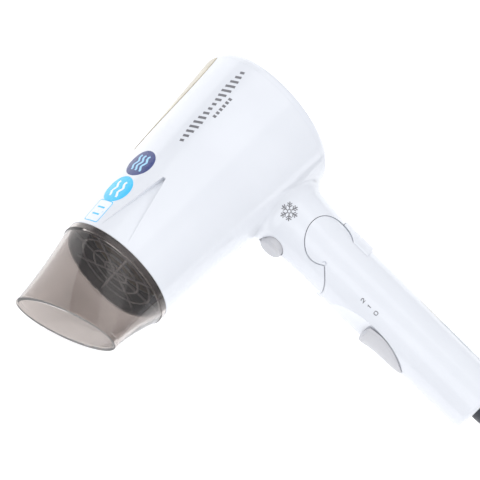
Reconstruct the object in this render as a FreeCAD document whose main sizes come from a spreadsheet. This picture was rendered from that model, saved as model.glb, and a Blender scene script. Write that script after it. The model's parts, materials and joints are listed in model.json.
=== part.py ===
"""Hair dryer with a fold-away handle and a narrow clear nozzle, as separate pieces.

Design frame: X along the barrel towards the air outlet, Y along the handle away from the barrel,
Z across the dryer.  The barrel's axis is the X axis and the handle's axis is the Y axis.  Every
sub-part is then moved so that the dryer lies on its side, centred over the origin, touching Z = 0.
"""
import FreeCAD
import Part
import math
import os
import Sketcher
from FreeCAD import Placement, Rotation, Vector

doc = FreeCAD.newDocument("hair_dryer")

# ---------------------------------------------------------------- driving dimensions, in millimetres

SIZES = [
    ("rear_x", -33.0, "rear face of the intake cover, at the barrel's axis"),
    ("rear_lean", 4.0, "lean of the intake cover, crown side further back, degrees"),
    ("cover_depth", 4.6, "width of the intake cover's rim"),
    ("front_x", 89.4, "front edge of the barrel shell"),
    ("duct_x", 92.4, "front edge of the outlet duct"),
    ("mouth_x", 129.6, "front edge of the nozzle"),
    ("barrel_rear_rad", 43.1, "barrel radius at the intake cover"),
    ("barrel_front_rad", 33.6, "barrel radius at the outlet"),
    ("wall", 2.2, "moulded wall"),
    ("duct_rad", 31.2, "outlet duct, outside"),
    ("duct_wall", 1.6, "outlet duct's wall"),
    ("nozzle_gap", 0.3, "turning clearance of the nozzle"),
    ("nozzle_wall", 1.7, "nozzle wall"),
    ("collar_length", 3.0, "straight collar of the nozzle"),
    ("mouth_long", 39.5, "half length of the nozzle's mouth"),
    ("mouth_short", 13.6, "half width of the nozzle's mouth"),
    ("mouth_turn", 52.0, "turn of the mouth about the barrel's axis, degrees"),
    ("neck_root_half", 20.4, "half width of the neck where it leaves the barrel"),
    ("grip_half", 18.75, "half width of the grip at the hinge"),
    ("grip_thick", 17.0, "half thickness of the grip at the hinge"),
    ("grip_end_half", 17.8, "half width of the grip at its end"),
    ("grip_end_thick", 16.4, "half thickness of the grip at its end"),
    ("hinge_y", 67.5, "fold axis along the handle"),
    ("grip_end_y", 185.0, "end of the handle"),
    ("ear_rad", 13.1, "round ear of the handle"),
    ("neck_back", 1.0, "set-back of the neck behind the handle"),
    ("ear_gap", 0.3, "clearance round the ears"),
    ("knuckle_half", 10.0, "half thickness of the neck's knuckle"),
    ("pin_rad", 2.5, "hinge pin"),
    ("pin_half", 14.0, "half length of the hinge pin"),
    ("boot_end", 20.2, "far end of the boot, from the fold axis"),
    ("boot_top", 14.9, "half width of the boot across the dryer"),
    ("button_y", 48.3, "cool-air button along the neck"),
    ("button_rad", 6.7, "cool-air button"),
    ("button_face", 21.2, "outer face of the cool-air button"),
    ("switch_y", 118.4, "middle of the switch recess"),
    ("switch_half", 26.0, "half length of the switch recess"),
    ("switch_depth", 3.6, "depth of the switch recess"),
    ("switch_step", 4.7, "knob travel between two settings"),
    ("motor_rad", 17.8, "motor can"),
    ("motor_rear", -6.0, "rear face of the motor"),
    ("motor_length", 27.0, "length of the motor can"),
    ("fan_rad", 34.4, "fan tip radius"),
    ("fan_x", -20.0, "rear face of the fan's hub"),
    ("fan_depth", 10.0, "length of the fan's hub"),
    ("sleeve_rad", 29.2, "mica sleeve, outside"),
    ("sleeve_rear", 28.0, "rear end of the mica sleeve"),
    ("sleeve_front", 84.0, "front end of the mica sleeve"),
    ("relief_length", 34.0, "strain relief outside the handle"),
    ("relief_rad", 7.4, "strain relief at the handle"),
    ("relief_tip_rad", 4.9, "strain relief at its tip"),
    ("cord_rad", 3.5, "mains cord"),
    ("coil_mean", 42.0, "coil radius at the middle of its turns"),
    ("coil_layers", 2, "layers of turns in the coil"),
    ("coil_rows", 3, "turns side by side in the coil"),
]

sheet = doc.addObject("Spreadsheet::Sheet", "sizes")
for row, (alias, value, meaning) in enumerate(SIZES, start=1):
    sheet.set("A%d" % row, meaning)
    sheet.set("B%d" % row, str(value))
    sheet.setAlias("B%d" % row, alias)

# the dryer's own box, which the origin is taken from
origin_row = len(SIZES) + 1
ORIGIN = [
    ("origin_x", "=-(rear_x - sin(rear_lean * 1deg) * (barrel_rear_rad - 2.4) + mouth_x) / 2"),
    ("origin_y", "=-(grip_end_y + relief_length - barrel_rear_rad) / 2"),
    ("origin_z", "=barrel_rear_rad"),
]
for row, (alias, formula) in enumerate(ORIGIN, start=origin_row):
    sheet.set("A%d" % row, "shift from the design frame")
    sheet.set("B%d" % row, formula)
    sheet.setAlias("B%d" % row, alias)
doc.recompute()


def size(alias):
    """The value of one cell."""
    return float(getattr(sheet, alias))


SHIFT = Vector(size("origin_x"), size("origin_y"), size("origin_z"))
SUBPARTS = []

# ---------------------------------------------------------------- small helpers


def keep(obj, label):
    """Marks an object as a sub-part: its label names its file."""
    obj.Label = label
    SUBPARTS.append(obj)
    return obj


def bind(obj, prop, formula):
    """Binds a property to the sheet; an "@" in the formula marks an alias."""
    obj.setExpression(prop, formula.replace("@", "sizes."))


def locate(obj, x="0", y="0", z="0", rotation=None, final=True):
    """Places an object at a design-frame point, shifted to the part's origin if it is final."""
    if rotation is not None:
        obj.Placement = Placement(Vector(), rotation)
    for axis, formula in (("x", x), ("y", y), ("z", z)):
        shift = "@origin_%s + " % axis if final else ""
        bind(obj, "Placement.Base.%s" % axis, shift + "(" + formula + ")")
    return obj


ALONG_X = Rotation(Vector(0, 1, 0), 90)
ALONG_Y = Rotation(Vector(1, 0, 0), -90)


def cylinder(name, radius, length, x="0", y="0", z="0", rotation=None, final=False):
    obj = doc.addObject("Part::Cylinder", name)
    bind(obj, "Radius", radius)
    bind(obj, "Height", length)
    return locate(obj, x, y, z, rotation, final)


def block(name, length, width, height, x, y, z, final=False):
    """A box given by its sizes along X, Y, Z and its lowest corner."""
    obj = doc.addObject("Part::Box", name)
    bind(obj, "Length", length)
    bind(obj, "Width", width)
    bind(obj, "Height", height)
    return locate(obj, x, y, z, None, final)


def cut(name, base, tool, final=False):
    obj = doc.addObject("Part::Cut", name)
    obj.Base = base
    obj.Tool = tool
    if final:
        locate(obj)
    return obj


def fuse(name, shapes, final=False):
    obj = doc.addObject("Part::MultiFuse", name)
    obj.Shapes = shapes
    if final:
        locate(obj)
    return obj


def group(name, shapes, final=True):
    """Identical pieces that stay separate solids in one sub-part."""
    obj = doc.addObject("Part::Compound", name)
    obj.Links = shapes
    if final:
        locate(obj)
    return obj


def feature(label, shape):
    """A sub-part whose shape comes from the functions below, moved from the design frame."""
    obj = doc.addObject("Part::Feature", label)
    obj.Shape = shape
    obj.Placement = Placement(SHIFT, Rotation())
    return keep(obj, label)


def origin_plane(body, role):
    return next(item for item in body.Origin.OriginFeatures if item.Role == role)


def outline(body, name, role, points):
    """A closed sketch of straight lines on one of the body's own planes; points are formulas."""
    sketch = body.newObject("Sketcher::SketchObject", name)
    sketch.AttachmentSupport = (origin_plane(body, role), [""])
    sketch.MapMode = "FlatFace"
    values = [tuple(float(evaluate(formula)) for formula in point) for point in points]
    count = len(points)
    for index in range(count):
        start = Vector(*values[index], 0)
        end = Vector(*values[(index + 1) % count], 0)
        sketch.addGeometry(Part.LineSegment(start, end), False)
    for index in range(count):
        sketch.addConstraint(Sketcher.Constraint("Coincident", index, 2, (index + 1) % count, 1))
    for index, point in enumerate(points):
        for kind, formula, value in zip(("DistanceX", "DistanceY"), point, values[index]):
            if abs(value) < 1e-9:
                axis = -2 if kind == "DistanceX" else -1
                sketch.addConstraint(Sketcher.Constraint("PointOnObject", index, 1, axis))
                continue
            number = sketch.addConstraint(Sketcher.Constraint(kind, -1, 1, index, 1, value))
            bind(sketch, "Constraints[%d]" % number, formula)
    return sketch


def evaluate(formula):
    """The number that a formula on the sheet gives."""
    doc.recompute([sheet])
    return sheet.evalExpression(formula.replace("@", ""))


def revolved(label, points, role="XZ_Plane", axis="H_Axis", x="0", y="0", tilt=None, last=True):
    """A body turned about the X axis (outline in x, radius) or the Y axis (outline in radius, y)."""
    body = doc.addObject("PartDesign::Body", label)
    sketch = outline(body, label + "_outline", role, points)
    turn = body.newObject("PartDesign::Revolution", label + "_turn")
    turn.Profile = sketch
    turn.ReferenceAxis = (sketch, [axis])
    turn.Angle = 360.0
    locate(body, x, y, "0", tilt, True)
    if last:
        keep(body, label)
    return body


def rectangle(low_x, low_y, high_x, high_y):
    return [(low_x, low_y), (high_x, low_y), (high_x, high_y), (low_x, high_y)]


def ring(inner, outer, rear, front):
    """The outline of a plain ring about the X axis."""
    return [(rear, inner), (front, inner), (front, outer), (rear, outer)]


def joined(shapes):
    result = shapes[0].fuse(shapes[1:]) if len(shapes) > 1 else shapes[0]
    return result.removeSplitter()


def box_shape(low, high):
    low, high = Vector(*low), Vector(*high)
    extent = high - low
    return Part.makeBox(extent.x, extent.y, extent.z, low)


def turned_about_x(points):
    """A solid of revolution about X from (x, radius) points; the outline closes on the axis."""
    corners = [Vector(x, 0, radius) for x, radius in points]
    wire = Part.makePolygon(corners + [corners[0]])
    return Part.Face(wire).revolve(Vector(), Vector(1, 0, 0), 360)


def oval_wire(y, half_x, half_z, centre_x=0.0):
    """An ellipse across the handle's axis."""
    centre = Vector(centre_x, y, 0)
    if half_x >= half_z:
        rim = Part.Ellipse(centre + Vector(half_x, 0, 0), centre + Vector(0, 0, half_z), centre)
    else:
        rim = Part.Ellipse(centre + Vector(0, 0, half_z), centre + Vector(half_x, 0, 0), centre)
    return Part.Wire(rim.toShape())


# ---------------------------------------------------------------- outer forms of barrel and grip

HINGE = Vector(0, size("hinge_y"), 0)
WALL = size("wall")
COVER_FRONT = size("rear_x") + size("cover_depth")
FRONT = size("front_x")
FAR = 120.0


def barrel_radius(x):
    """Outside radius of the barrel's cone at a station along it."""
    rear_rad, front_rad = size("barrel_rear_rad"), size("barrel_front_rad")
    return rear_rad + (front_rad - rear_rad) * (x - COVER_FRONT) / (FRONT - COVER_FRONT)


def barrel_form(inset, rear, front):
    """The barrel's cone between two stations, inset from its surface."""
    return Part.makeCone(barrel_radius(rear) - inset, barrel_radius(front) - inset, front - rear,
                         Vector(rear, 0, 0), Vector(1, 0, 0))


def grip_form(inset, proud=0.0, back=0.0):
    """Neck and handle as one oval bar along Y; proud widens it along X only, back shifts it."""
    hinge, end = size("hinge_y"), size("grip_end_y")
    half, thick = size("grip_half"), size("grip_thick")
    end_half, end_thick = size("grip_end_half"), size("grip_end_thick")
    spread = (size("neck_root_half") - half) / (hinge - size("barrel_rear_rad"))
    root_y = 8.0
    drop = hinge - root_y
    sections = [
        (root_y, half + spread * drop, thick + 0.45 * spread * drop, -0.45 * spread * drop),
        (hinge, half, thick, 0.0),
        (hinge + 0.36 * (end - hinge), half - 0.1, thick - 0.1, 0.0),
        (end, end_half, end_thick, 0.0),
    ]
    wires = [
        oval_wire(y, half_x - inset + proud, half_z - inset, centre - back)
        for y, half_x, half_z, centre in sections
    ]
    return Part.makeLoft(wires, True, True)


def plan_prism(points, low_z=-FAR, high_z=FAR):
    """A prism over a plan outline in X and Y."""
    corners = [Vector(x, y, low_z) for x, y in points]
    face = Part.Face(Part.makePolygon(corners + [corners[0]]))
    return face.extrude(Vector(0, 0, high_z - low_z))


def hinge_disc(radius, low_z, high_z):
    return Part.makeCylinder(radius, high_z - low_z, HINGE + Vector(0, 0, low_z))


def both_sides(shape):
    """A shape and its mirror image across the dryer's middle plane."""
    return Part.makeCompound([shape, shape.mirror(Vector(), Vector(0, 0, 1))])


def neck_region(gap=0.0):
    """Plan of what belongs to the neck: straight at the back, slanted at the front tongue."""
    hinge, bend = size("hinge_y"), notch_offset()
    reach, steepness = 60.0, 1.45
    bend_y = hinge + bend.y + gap * math.hypot(1.0, steepness)
    tip_y = bend_y + steepness * (reach - bend.x)
    return plan_prism([
        (-FAR, -reach), (-FAR, hinge + gap), (0.0, hinge + gap), (bend.x, bend_y),
        (reach, tip_y), (FAR, tip_y), (FAR, -reach),
    ])


def behind_cover_joint():
    """Everything behind the leaning plane where the shell meets the intake cover."""
    room = box_shape((-FAR, -FAR, -FAR), (size("cover_depth"), FAR, FAR))
    room.rotate(Vector(), Vector(0, 0, 1), -size("rear_lean"))
    room.translate(Vector(size("rear_x"), 0, 0))
    return room


def halves(shape):
    """Splits a shell at the middle plane: left is up (+Z), right is down."""
    extent = 4 * FAR
    upper = Part.makeBox(extent, extent, FAR, Vector(-extent / 2, -extent / 2, 0))
    return shape.common(upper), shape.cut(upper)


def screw_boss(x, y):
    """A post for one screw, trimmed to stay under the grip's surface."""
    post = Part.makeCylinder(4.4, 2 * FAR, Vector(x, y, -FAR))
    return post.common(grip_form(0.6))


# ---------------------------------------------------------------- barrel shell with the neck

SCOOP_TIP_X = 47.5
SCOOP_TURN = 25.5
NECK_SCREW = (-9.5, 46.0)
HANDLE_SCREWS = [(-10.0, 99.0), (-9.5, 152.0)]
SCREW_HEAD_RAD = 2.8
SCREW_HEAD_DEPTH = 2.0
SCREW_RAD = 1.4
SCREW_SEAT = 10.0
SCREW_REACH = 11.0
NECK_LEAD_X = -5.0


def scoop_tool():
    """One wedge-shaped air scoop: a ramp that starts at its tip and runs out at the front edge."""
    tip_half, front_half = 0.9, 12.0
    reach = 12.0
    wedge = plan_prism([
        (SCOOP_TIP_X, -tip_half), (FRONT + reach, -front_half),
        (FRONT + reach, front_half), (SCOOP_TIP_X, tip_half),
    ], 0.0, FAR)
    floor_rad = size("barrel_front_rad") + 0.15
    floor = Part.makeCone(floor_rad + 0.2, floor_rad, FRONT + reach - SCOOP_TIP_X + 2,
                          Vector(SCOOP_TIP_X - 1, 0, 0), Vector(1, 0, 0))
    tool = wedge.cut(floor)
    tool.rotate(Vector(), Vector(1, 0, 0), SCOOP_TURN)
    return tool


def barrel_shell():
    hinge = size("hinge_y")
    knuckle = size("knuckle_half")
    back = size("neck_back")
    overrun = 6.0
    barrel = barrel_form(0.0, COVER_FRONT - overrun, FRONT)
    neck = grip_form(0.0, back=back).common(neck_region())
    outer = barrel.fuse(neck)
    crease = [edge for edge in outer.Edges if on_crease(edge)]
    outer = outer.makeFillet(8.5, crease)

    duct_room = size("duct_rad") + 0.1
    cavity = turned_about_x([
        (COVER_FRONT - overrun - 1, 0), (COVER_FRONT - overrun - 1, 41.3), (8, 37.7), (26, 33.3),
        (80, duct_room), (FRONT + 1, duct_room), (FRONT + 1, 0),
    ])
    inside = grip_form(WALL, back=back)
    neck_room = inside.common(box_shape((-FAR, 26, -FAR), (FAR, hinge - 10, FAR)))
    tongue_room = inside.common(box_shape((0, hinge - 8, -knuckle), (FAR, hinge + 30, knuckle)))
    shell = outer.cut(cavity.fuse(neck_room)).cut(tongue_room)
    shell = shell.fuse(hinge_disc(size("ear_rad") - 0.4, -knuckle, knuckle))
    shell = shell.fuse(screw_boss(*NECK_SCREW))

    pocket = both_sides(hinge_disc(size("ear_rad") + size("ear_gap"), knuckle, FAR))
    shell = shell.cut(pocket)
    shell = shell.cut(hinge_disc(size("pin_rad") + 0.06, -knuckle, knuckle))
    washer_seat = both_sides(hinge_disc(8.2, knuckle - 1.0, knuckle))
    shell = shell.cut(washer_seat)
    lead_channel = Part.makeCylinder(2.2, 46, Vector(NECK_LEAD_X, hinge - 36, 0), Vector(0, 1, 0))
    shell = shell.cut(lead_channel)
    button_hole = Part.makeCylinder(size("button_rad") + 0.35, 20, Vector(8, size("button_y"), 0),
                                    Vector(1, 0, 0))
    shell = shell.cut(button_hole)
    scoop = scoop_tool()
    shell = shell.cut(scoop).cut(scoop.mirror(Vector(), Vector(0, 0, 1)))
    shell = shell.cut(screw_hole(*NECK_SCREW))
    return shell.cut(trim_plate_form(0.35)).cut(behind_cover_joint())


def on_crease(edge):
    """True for the edges where the neck's oval meets the barrel's cone."""
    first, last = edge.ParameterRange
    for share in (0.05, 0.5, 0.95):
        point = edge.valueAt(first + share * (last - first))
        if point.y < 20 or point.x < COVER_FRONT + 1 or point.x > 60:
            return False
        probe = math.hypot(point.y, point.z)
        if abs(probe - barrel_radius(point.x)) > 0.05:
            return False
    return True


def screw_hole(x, y):
    """Blind bore up into the left half, with a counterbore in the right half."""
    bore = Part.makeCylinder(SCREW_RAD, SCREW_SEAT + SCREW_REACH, Vector(x, y, -SCREW_SEAT))
    head = Part.makeCylinder(SCREW_HEAD_RAD + 0.2, FAR, Vector(x, y, -SCREW_SEAT), Vector(0, 0, -1))
    return bore.fuse(head)


def trim_plate_form(grow):
    """Leaf-shaped inlay along the barrel's crown, standing a little proud of it."""
    rear, tip, half = -30.5, 34.0, 13.5
    leaf = Part.Wire([
        Part.Arc(Vector(rear - grow, -half - grow, 0), Vector(4, -0.72 * half - grow, 0),
                 Vector(tip + grow, 0, 0)).toShape(),
        Part.Arc(Vector(tip + grow, 0, 0), Vector(4, 0.72 * half + grow, 0),
                 Vector(rear - grow, half + grow, 0)).toShape(),
        Part.makeLine(Vector(rear - grow, half + grow, 0), Vector(rear - grow, -half - grow, 0)),
    ])
    prism = Part.Face(leaf).extrude(Vector(0, 0, FAR))
    prism.rotate(Vector(), Vector(1, 0, 0), 90)
    high, low = -0.35 - grow, 1.0
    rear_limit = COVER_FRONT - 5.0
    skin = barrel_form(high, rear_limit, FRONT).cut(barrel_form(low, rear_limit - 1, FRONT + 1))
    return prism.common(skin)


# ---------------------------------------------------------------- handle shell, boot and nozzle


def boot_zone():
    """The room behind the fold axis that the neck needs when the handle is folded."""
    hinge, top = size("hinge_y"), size("boot_top")
    return box_shape((-FAR, hinge, -top), (0.0, hinge + size("boot_end"), top))


def switch_recess():
    """A shallow round-bottomed recess in the front of the handle."""
    half, depth = size("switch_half"), size("switch_depth")
    radius = (half ** 2 + depth ** 2) / (2 * depth)
    front = size("grip_half") - 0.1
    return Part.makeCylinder(radius, 2 * FAR, Vector(front - depth + radius, size("switch_y"), -FAR))


def handle_shell():
    hinge, end = size("hinge_y"), size("grip_end_y")
    gap, knuckle = size("ear_gap"), size("knuckle_half")
    outer = grip_form(0.0)
    end_rim = [edge for edge in outer.Edges if abs(edge.BoundBox.YMin - end) < 0.01
               and abs(edge.BoundBox.YMax - end) < 0.01]
    outer = outer.makeFillet(3.6, end_rim)
    room = grip_form(WALL).common(box_shape((-FAR, 0, -FAR), (FAR, end - 2.6, FAR)))
    body = outer.cut(room)
    recess_floor = switch_recess_floor()
    body = body.fuse(recess_floor).cut(switch_recess())
    for x, y in HANDLE_SCREWS:
        body = body.fuse(screw_boss(x, y))
    body = body.cut(neck_region(gap)).cut(boot_zone())
    ears = both_sides(outer.common(hinge_disc(size("ear_rad"), knuckle + gap, FAR)))
    pocket_ring = both_sides(hinge_disc(size("ear_rad") + gap, knuckle, FAR))
    neck_side = pocket_ring.common(neck_region(gap))
    body = body.fuse(ears).cut(neck_side.cut(ears))
    body = body.cut(hinge_disc(size("pin_rad"), -size("pin_half"), size("pin_half")))
    notch = both_sides(Part.makeCylinder(1.3, FAR, HINGE + notch_offset()))
    body = body.cut(notch)
    body = body.cut(Part.makeCylinder(5.2, 10, Vector(0, end - 6, 0), Vector(0, 1, 0)))
    slot_start, slot_end = size("switch_y") - 2.8, size("switch_y") + 12.4
    stem_slot = box_shape((8, slot_start, -3.2), (FAR, slot_end, 3.2))
    body = body.cut(stem_slot)
    for x, y in HANDLE_SCREWS:
        body = body.cut(screw_hole(x, y))
    return body.common(box_shape((-FAR, hinge - 20, -FAR), (FAR, end + 1, FAR)))


def notch_offset():
    """The small relief where the ear's round seam turns into the slanted seam."""
    reach, turn = size("ear_rad") - 0.4, math.radians(59)
    return Vector(reach * math.sin(turn), reach * math.cos(turn), 13.4)


def switch_recess_floor():
    """Extra wall behind the recess, so that it has a floor."""
    half, depth = size("switch_half"), size("switch_depth")
    inner = grip_form(0.4)
    front = size("grip_half") - depth - WALL
    return inner.common(box_shape((front, size("switch_y") - half, -FAR), (FAR, size("switch_y") + half, FAR)))


def hinge_boot():
    skin = grip_form(0.0, 0.45, size("neck_back")).cut(grip_form(2.0))
    zone = boot_zone().common(box_shape((-FAR, size("hinge_y") + size("ear_gap"), -FAR), (0, 2 * FAR, FAR)))
    return skin.common(zone).cut(hinge_disc(size("ear_rad") + size("ear_gap"), -FAR, FAR))


def mouth_wire(x, half_long, half_short):
    """An ellipse across the barrel's axis, its long way turned from Y towards Z."""
    turn = math.radians(size("mouth_turn"))
    centre = Vector(x, 0, 0)
    long_way = Vector(0, math.cos(turn), math.sin(turn))
    short_way = Vector(0, -math.sin(turn), math.cos(turn))
    rim = Part.Ellipse(centre + long_way * half_long, centre + short_way * half_short, centre)
    return Part.Wire(rim.toShape())


def nozzle_form(outer):
    """The taper from the round collar to the flat mouth, as the outside or as the room inside."""
    start = FRONT + size("nozzle_gap") + size("collar_length")
    wall = size("nozzle_wall")
    if outer:
        round_rad, early, overrun, inset = size("barrel_front_rad") - 0.5, 0.0, 0.0, 0.0
    else:
        round_rad, early, overrun, inset = size("duct_rad") - 0.1, 0.6, 0.1, wall
    long_half, short_half = size("mouth_long") - inset, size("mouth_short") - inset
    collar_end = mouth_wire(start - early, round_rad, round_rad - 0.001)
    mouth = mouth_wire(size("mouth_x") + overrun, long_half, short_half)
    return Part.makeLoft([collar_end, mouth], True, True)


def nozzle_shape():
    rear = FRONT + size("nozzle_gap")
    start = rear + size("collar_length")
    collar_rad = size("barrel_front_rad") - 0.1
    bore_rad = size("duct_rad") + size("nozzle_gap")
    collar = Part.makeCylinder(collar_rad, size("collar_length"), Vector(rear, 0, 0), Vector(1, 0, 0))
    lip_start = size("mouth_x") - 2.4
    lip_long, lip_short = size("mouth_long") + 0.3, size("mouth_short") + 0.5
    lip = Part.Face(mouth_wire(lip_start, lip_long, lip_short)).extrude(Vector(2.4, 0, 0))
    bore = Part.makeCylinder(bore_rad, start - rear + 1, Vector(rear - 1, 0, 0), Vector(1, 0, 0))
    return joined([collar, nozzle_form(True), lip]).cut(bore).cut(nozzle_form(False))


shell_left, shell_right = halves(barrel_shell())
feature("barrel_shell_left", shell_left)
feature("barrel_shell_right", shell_right)
feature("crown_trim", trim_plate_form(0.0))
handle_left, handle_right = halves(handle_shell())
feature("handle_shell_left", handle_left)
feature("handle_shell_right", handle_right)
feature("hinge_boot", hinge_boot())
feature("nozzle", nozzle_shape())

# ---------------------------------------------------------------- intake cover, screen, outlet duct


COVER_TILT = Rotation(Vector(0, 0, 1), -size("rear_lean"))


def intake_cover():
    """A turned cover whose face has two rings of radial slots."""
    cover = revolved("intake_cover", [
        ("0", "0"), ("2.4", "0"), ("2.4", "@barrel_rear_rad - 5.4"),
        ("@cover_depth + 5", "@barrel_rear_rad - 5.4"), ("@cover_depth + 5", "@barrel_rear_rad - 4.1"),
        ("@cover_depth", "@barrel_rear_rad - 4.1"), ("@cover_depth", "@barrel_rear_rad - 0.1"),
        ("2.2", "@barrel_rear_rad - 0.15"), ("0.6", "@barrel_rear_rad - 0.9"),
        ("0", "@barrel_rear_rad - 2.4"),
    ], x="@rear_x", tilt=COVER_TILT, last=False)
    slot = outline(cover, "slot_outline", "YZ_Plane", rectangle("8.5", "-1.1", "20", "1.1"))
    ribs = [(slot, "inner"), (outline(cover, "outer_slot", "YZ_Plane",
                                      rectangle("23", "-1.5", "36.4", "1.5")), "outer")]
    for sketch, ring_name in ribs:
        pocket = cover.newObject("PartDesign::Pocket", ring_name + "_pocket")
        pocket.Profile = sketch
        pocket.Type = "ThroughAll"
        pocket.SideType = "Symmetric"
        doc.recompute()
        pattern = cover.newObject("PartDesign::PolarPattern", ring_name + "_pattern")
        pattern.Originals = [pocket]
        pattern.Axis = (cover.Origin.OriginFeatures[0], [""])
        pattern.Angle = 360
        pattern.Occurrences = 20 if ring_name == "inner" else 36
        cover.Tip = pattern
        doc.recompute()
    return keep(cover, "intake_cover")


intake_cover()
revolved("dust_screen", ring("0", "@barrel_rear_rad - 5.6", "2.5", "3.1"), x="@rear_x", tilt=COVER_TILT)
revolved("outlet_duct", [
    ("@sleeve_front - 6", "@sleeve_rad + 0.2"), ("@duct_x", "@duct_rad - @duct_wall"),
    ("@duct_x", "@duct_rad"), ("@sleeve_front - 6", "@duct_rad"),
])

guard_x = "@duct_x - 2.6"
guard_rings = []
for number, share in enumerate((0.24, 0.5, 0.76)):
    hoop = doc.addObject("Part::Torus", "guard_hoop_%d" % number)
    bind(hoop, "Radius1", "(@duct_rad - @duct_wall) * %s" % share)
    bind(hoop, "Radius2", "0.7")
    locate(hoop, guard_x, rotation=ALONG_X, final=False)
    guard_rings.append(hoop)
for number in range(8):
    spoke = doc.addObject("Part::Cylinder", "guard_spoke_%d" % number)
    bind(spoke, "Radius", "0.8")
    bind(spoke, "Height", "@duct_rad - @duct_wall - 0.3")
    spoke_turn = Rotation(Vector(1, 0, 0), number * 45.0)
    locate(spoke, guard_x, rotation=spoke_turn, final=False)
    guard_rings.append(spoke)
keep(fuse("outlet_guard", guard_rings, True), "outlet_guard")

# ---------------------------------------------------------------- fan and motor

FAN_BLADES = 7


def fan_shape():
    """An axial fan: a rounded hub with pitched blades, bored for the motor's shaft."""
    rear, depth, tip = size("fan_x"), size("fan_depth"), size("fan_rad")
    hub = Part.makeCylinder(11, depth, Vector(rear, 0, 0), Vector(1, 0, 0))
    rear_rim = [edge for edge in hub.Edges if abs(edge.BoundBox.XMax - rear) < 0.01]
    hub = hub.makeFillet(2.5, rear_rim)
    blades = []
    for number in range(FAN_BLADES):
        blade = Part.makeBox(1.3, 11.0, tip - 9.0, Vector(-0.65, -5.5, 9.0))
        blade.rotate(Vector(), Vector(0, 0, 1), 52)
        blade.translate(Vector(rear + depth / 2, 0, 0))
        blade.rotate(Vector(), Vector(1, 0, 0), 360.0 * number / FAN_BLADES)
        blades.append(blade)
    wheel = joined([hub] + blades)
    rim = Part.makeCylinder(tip, 2 * depth, Vector(rear - depth / 2, 0, 0), Vector(1, 0, 0))
    bore = Part.makeCylinder(1.5, 2 * depth, Vector(rear - depth / 2, 0, 0), Vector(1, 0, 0))
    return wheel.common(rim).cut(bore)


feature("fan", fan_shape())

shaft_rear = "@fan_x + 1"
keep(cylinder("motor_shaft", "1.5", "@motor_rear - @fan_x + 8", shaft_rear, rotation=ALONG_X, final=True),
     "motor_shaft")
revolved("motor", [
    ("@motor_rear", "1.6"), ("@motor_rear", "5"), ("@motor_rear + 1.6", "5"),
    ("@motor_rear + 1.6", "@motor_rad"), ("@motor_rear + @motor_length", "@motor_rad"),
    ("@motor_rear + @motor_length", "0"), ("@motor_rear + 9.4", "0"), ("@motor_rear + 9.4", "1.6"),
])


def motor_carrier():
    """Cup round the motor, held in an outer ring by guide vanes."""
    rear = size("motor_rear") + 2
    length = size("motor_length") - 6
    cup_in, ring_in = size("motor_rad"), size("fan_rad") + 0.8
    cup = Part.makeCylinder(cup_in + 1.6, length, Vector(rear, 0, 0), Vector(1, 0, 0))
    hoop = Part.makeCylinder(ring_in + 1.6, 12, Vector(rear, 0, 0), Vector(1, 0, 0))
    hoop_room = Part.makeCylinder(ring_in, 14, Vector(rear - 1, 0, 0), Vector(1, 0, 0))
    vanes = []
    for number in range(9):
        vane = Part.makeBox(11, 1.2, ring_in - cup_in, Vector(rear + 0.5, -0.6, cup_in + 0.8))
        vane.rotate(Vector(), Vector(1, 0, 0), 40.0 * number)
        vanes.append(vane)
    can_room = Part.makeCylinder(cup_in, length + 2, Vector(rear - 1, 0, 0), Vector(1, 0, 0))
    return joined([cup, hoop.cut(hoop_room)] + vanes).cut(can_room)


feature("motor_carrier", motor_carrier())
keep(block("rectifier_board", "1.6", "22", "22", "@motor_rear + @motor_length + 0.6", "-11", "-11", True),
     "rectifier_board")

# ---------------------------------------------------------------- heater

heater_rear = "@sleeve_rear + 1"
heater_length = "@sleeve_front - @sleeve_rear - 9"
cross = [
    block("mica_upright", heater_length, "0.8", "2 * @sleeve_rad - 7", heater_rear, "-0.4", "3.5 - @sleeve_rad"),
    block("mica_flat", heater_length, "2 * @sleeve_rad - 7", "0.8", heater_rear, "3.5 - @sleeve_rad", "-0.4"),
]
keep(fuse("heater_frame", cross, True), "heater_frame")


def heater_coils():
    """Rows of heater wire hoops threaded on the mica cross, standing in its edge notches."""
    hoops = []
    frame_rad = size("sleeve_rad") - 3.5
    wire_rad = 0.6
    first, last, rows = size("sleeve_rear") + 6, size("sleeve_front") - 13, 8
    for number in range(rows):
        x = first + (last - first) * number / (rows - 1)
        hoops.append(Part.makeTorus(frame_rad + wire_rad + 0.05, wire_rad, Vector(x, 0, 0), Vector(1, 0, 0)))
    return Part.makeCompound(hoops)


feature("heater_coils", heater_coils())
revolved("mica_sleeve", ring("@sleeve_rad - 0.6", "@sleeve_rad", "@sleeve_rear", "@sleeve_front - 6.2"))
keep(cylinder("thermostat", "5", "6", "@sleeve_front - 24", "13", "0.4", None, True), "thermostat")
keep(cylinder("thermal_fuse", "1.6", "12", "@sleeve_front - 26", "-14", "2.0", ALONG_X, True), "thermal_fuse")

# ---------------------------------------------------------------- cool-air button in the neck

revolved("cool_button", [
    ("8.6", "0"), ("8.6", "3"), ("13", "3"), ("13", "@button_rad + 0.6"), ("14.2", "@button_rad + 0.6"),
    ("14.2", "@button_rad"), ("@button_face - 1.2", "@button_rad"), ("@button_face - 0.3", "@button_rad - 0.9"),
    ("@button_face", "@button_rad - 2.2"), ("@button_face - 0.3", "0"),
], y="@button_y")


def button_spring():
    """A compression spring round the button's stem, as closed hoops of wire."""
    hoops = []
    count, wire_rad = 4, 0.3
    low, high = 8.0, 12.6
    for number in range(count):
        x = low + (high - low) * number / (count - 1)
        hoops.append(Part.makeTorus(3.9, wire_rad, Vector(x, size("button_y"), 0), Vector(1, 0, 0)))
    rod = Part.makeCylinder(0.2, high - low, Vector(low, size("button_y"), 3.9), Vector(1, 0, 0))
    return joined(hoops + [rod])


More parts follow.
